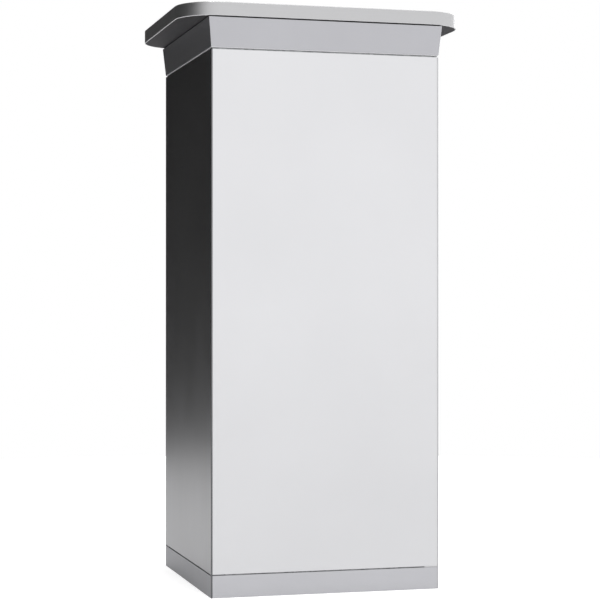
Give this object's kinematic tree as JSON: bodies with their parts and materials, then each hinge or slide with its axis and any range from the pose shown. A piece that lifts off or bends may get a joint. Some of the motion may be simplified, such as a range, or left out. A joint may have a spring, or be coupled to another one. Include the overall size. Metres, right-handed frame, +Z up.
{
  "type": "cluster mailbox unit",
  "caption": "Free-standing square column of locking mail compartments behind one hinged master door, with a letter slot, flared crown and overhanging round-cornered cap.",
  "frame": {"origin": "centre of the footprint at ground level, under the middle of the cap", "axes": "+Z up; -Y out of the doors at the front; +X to the right of someone who faces the doors"},
  "size_m": [0.622, 0.762, 1.512],
  "materials": {
    "skin": "smooth satin powder coat, light silver grey",
    "door_frame_paint": "fine-texture powder coat, light grey",
    "leaf_paint": "smooth satin powder coat, light silver grey",
    "plinth_paint": "smooth satin powder coat, mid grey",
    "post_metal": "dark grey powder coat",
    "crown_paint": "smooth satin powder coat, mid grey",
    "cap_paint": "smooth satin powder coat, silver grey",
    "soffit_paint": "satin powder coat, dark grey",
    "frame_steel": "galvanised sheet, weathered",
    "sheet": "mill-finish sheet",
    "zinc": "bright zinc plate",
    "hinge_steel": "stainless, brushed",
    "seal": "closed-cell rubber strip",
    "lock_chrome": "polished plate",
    "lock_brass": "machined",
    "slot_metal": "anodised, satin"
  },
  "bodies": {
    "cabinet": {"base_pan": "frame_steel", "plinth_front": "plinth_paint", "plinth_rear": "plinth_paint", "plinth_left": "plinth_paint", "plinth_right": "plinth_paint", "post_front_left": "door_frame_paint", "post_front_right": "door_frame_paint", "post_rear_left": "post_metal", "post_rear_right": "post_metal", "front_frame": "door_frame_paint", "rear_panel": "skin", "left_panel": "skin", "right_panel": "skin", "top_frame": "frame_steel", "crown_fascia": "crown_paint", "cap_soffit": "soffit_paint", "cap_stiffeners": "frame_steel", "cap_shell": "cap_paint", "cap_bolts": "zinc", "compartment_liner": "sheet", "compartment_shelves": "sheet", "column_dividers": "sheet", "floor_panel": "sheet", "panel_studs": "zinc", "cabinet_hinge_leaf": "hinge_steel", "master_hinge_pin": "hinge_steel", "rod_keepers": "zinc"},
    "master_door": {"master_frame": "door_frame_paint", "door_gasket": "seal", "door_hinge_leaf": "hinge_steel", "leaf_hinge_pins": "hinge_steel", "lock_case": "zinc", "rod_guides": "zinc", "slot_visor": "slot_metal", "flap_pin": "hinge_steel"},
    "latch": {"master_plug": "lock_brass", "latch_pinion": "lock_brass"},
    "upper_rod": {"upper_rod": "zinc"},
    "lower_rod": {"lower_rod": "zinc"},
    "flap": {"letter_flap": "slot_metal"},
    "tenant_leaf_1": {"tenant_door_1": "leaf_paint"},
    "tenant_cam_1": {"tenant_lock_1": "lock_chrome"},
    "tenant_leaf_2": {"tenant_door_2": "leaf_paint"},
    "tenant_cam_2": {"tenant_lock_2": "lock_chrome"},
    "tenant_leaf_3": {"tenant_door_3": "leaf_paint"},
    "tenant_cam_3": {"tenant_lock_3": "lock_chrome"},
    "tenant_leaf_4": {"tenant_door_4": "leaf_paint"},
    "tenant_cam_4": {"tenant_lock_4": "lock_chrome"},
    "tenant_leaf_5": {"tenant_door_5": "leaf_paint"},
    "tenant_cam_5": {"tenant_lock_5": "lock_chrome"},
    "tenant_leaf_6": {"tenant_door_6": "leaf_paint"},
    "tenant_cam_6": {"tenant_lock_6": "lock_chrome"},
    "tenant_leaf_7": {"tenant_door_7": "leaf_paint"},
    "tenant_cam_7": {"tenant_lock_7": "lock_chrome"},
    "tenant_leaf_8": {"tenant_door_8": "leaf_paint"},
    "tenant_cam_8": {"tenant_lock_8": "lock_chrome"},
    "parcel_leaf_1": {"parcel_door_1": "leaf_paint"},
    "parcel_cam_1": {"parcel_lock_1": "lock_chrome"},
    "parcel_leaf_2": {"parcel_door_2": "leaf_paint"},
    "parcel_cam_2": {"parcel_lock_2": "lock_chrome"}
  },
  "joints": [
    {"name": "master_door_hinge", "type": "hinge", "parent": "cabinet", "child": "master_door", "pos_m": [-0.2675, -0.305, 0.7265], "axis": [0, 0, -1], "range_deg": [0, 110]},
    {"name": "master_key_turn", "type": "hinge", "parent": "master_door", "child": "latch", "pos_m": [0.246, -0.305, 1.3], "axis": [0, 1, 0], "range_deg": [0, 90]},
    {"name": "upper_rod_slide", "type": "slide", "parent": "master_door", "child": "upper_rod", "axis": [0, 0, 1], "range_m": [0, 0.01256]},
    {"name": "lower_rod_slide", "type": "slide", "parent": "master_door", "child": "lower_rod", "axis": [0, 0, -1], "range_m": [0, 0.01256]},
    {"name": "letter_flap_hinge", "type": "hinge", "parent": "master_door", "child": "flap", "pos_m": [-0.033, -0.2986, 1.324], "axis": [1, 0, 0], "range_deg": [-2, 75]},
    {"name": "tenant_door_1_hinge", "type": "hinge", "parent": "master_door", "child": "tenant_leaf_1", "pos_m": [-0.2365, -0.305, 1.177], "axis": [0, 0, -1], "range_deg": [0, 105]},
    {"name": "tenant_lock_1_turn", "type": "hinge", "parent": "tenant_leaf_1", "child": "tenant_cam_1", "pos_m": [-0.032, -0.305, 1.177], "axis": [0, -1, 0], "range_deg": [0, 90]},
    {"name": "tenant_door_2_hinge", "type": "hinge", "parent": "master_door", "child": "tenant_leaf_2", "pos_m": [0.0205, -0.305, 1.177], "axis": [0, 0, -1], "range_deg": [0, 105]},
    {"name": "tenant_lock_2_turn", "type": "hinge", "parent": "tenant_leaf_2", "child": "tenant_cam_2", "pos_m": [0.225, -0.305, 1.177], "axis": [0, -1, 0], "range_deg": [0, 90]},
    {"name": "tenant_door_3_hinge", "type": "hinge", "parent": "master_door", "child": "tenant_leaf_3", "pos_m": [-0.2365, -0.305, 1.031], "axis": [0, 0, -1], "range_deg": [0, 105]},
    {"name": "tenant_lock_3_turn", "type": "hinge", "parent": "tenant_leaf_3", "child": "tenant_cam_3", "pos_m": [-0.032, -0.305, 1.031], "axis": [0, -1, 0], "range_deg": [0, 90]},
    {"name": "tenant_door_4_hinge", "type": "hinge", "parent": "master_door", "child": "tenant_leaf_4", "pos_m": [0.0205, -0.305, 1.031], "axis": [0, 0, -1], "range_deg": [0, 105]},
    {"name": "tenant_lock_4_turn", "type": "hinge", "parent": "tenant_leaf_4", "child": "tenant_cam_4", "pos_m": [0.225, -0.305, 1.031], "axis": [0, -1, 0], "range_deg": [0, 90]},
    {"name": "tenant_door_5_hinge", "type": "hinge", "parent": "master_door", "child": "tenant_leaf_5", "pos_m": [-0.2365, -0.305, 0.885], "axis": [0, 0, -1], "range_deg": [0, 105]},
    {"name": "tenant_lock_5_turn", "type": "hinge", "parent": "tenant_leaf_5", "child": "tenant_cam_5", "pos_m": [-0.032, -0.305, 0.885], "axis": [0, -1, 0], "range_deg": [0, 90]},
    {"name": "tenant_door_6_hinge", "type": "hinge", "parent": "master_door", "child": "tenant_leaf_6", "pos_m": [0.0205, -0.305, 0.885], "axis": [0, 0, -1], "range_deg": [0, 105]},
    {"name": "tenant_lock_6_turn", "type": "hinge", "parent": "tenant_leaf_6", "child": "tenant_cam_6", "pos_m": [0.225, -0.305, 0.885], "axis": [0, -1, 0], "range_deg": [0, 90]},
    {"name": "tenant_door_7_hinge", "type": "hinge", "parent": "master_door", "child": "tenant_leaf_7", "pos_m": [-0.2365, -0.305, 0.739], "axis": [0, 0, -1], "range_deg": [0, 105]},
    {"name": "tenant_lock_7_turn", "type": "hinge", "parent": "tenant_leaf_7", "child": "tenant_cam_7", "pos_m": [-0.032, -0.305, 0.739], "axis": [0, -1, 0], "range_deg": [0, 90]},
    {"name": "tenant_door_8_hinge", "type": "hinge", "parent": "master_door", "child": "tenant_leaf_8", "pos_m": [0.0205, -0.305, 0.739], "axis": [0, 0, -1], "range_deg": [0, 105]},
    {"name": "tenant_lock_8_turn", "type": "hinge", "parent": "tenant_leaf_8", "child": "tenant_cam_8", "pos_m": [0.225, -0.305, 0.739], "axis": [0, -1, 0], "range_deg": [0, 90]},
    {"name": "parcel_door_1_hinge", "type": "hinge", "parent": "master_door", "child": "parcel_leaf_1", "pos_m": [-0.2365, -0.305, 0.52525], "axis": [0, 0, -1], "range_deg": [0, 105]},
    {"name": "parcel_lock_1_turn", "type": "hinge", "parent": "parcel_leaf_1", "child": "parcel_cam_1", "pos_m": [0.225, -0.305, 0.52525], "axis": [0, -1, 0], "range_deg": [0, 90]},
    {"name": "parcel_door_2_hinge", "type": "hinge", "parent": "master_door", "child": "parcel_leaf_2", "pos_m": [-0.2365, -0.305, 0.24375], "axis": [0, 0, -1], "range_deg": [0, 105]},
    {"name": "parcel_lock_2_turn", "type": "hinge", "parent": "parcel_leaf_2", "child": "parcel_cam_2", "pos_m": [0.225, -0.305, 0.24375], "axis": [0, -1, 0], "range_deg": [0, 90]}
  ],
  "couplings": [
    {"joint": "master_key_turn", "follows": "lower_rod_slide", "rad_per_m": 125},
    {"joint": "upper_rod_slide", "follows": "lower_rod_slide", "ratio": 1}
  ]
}
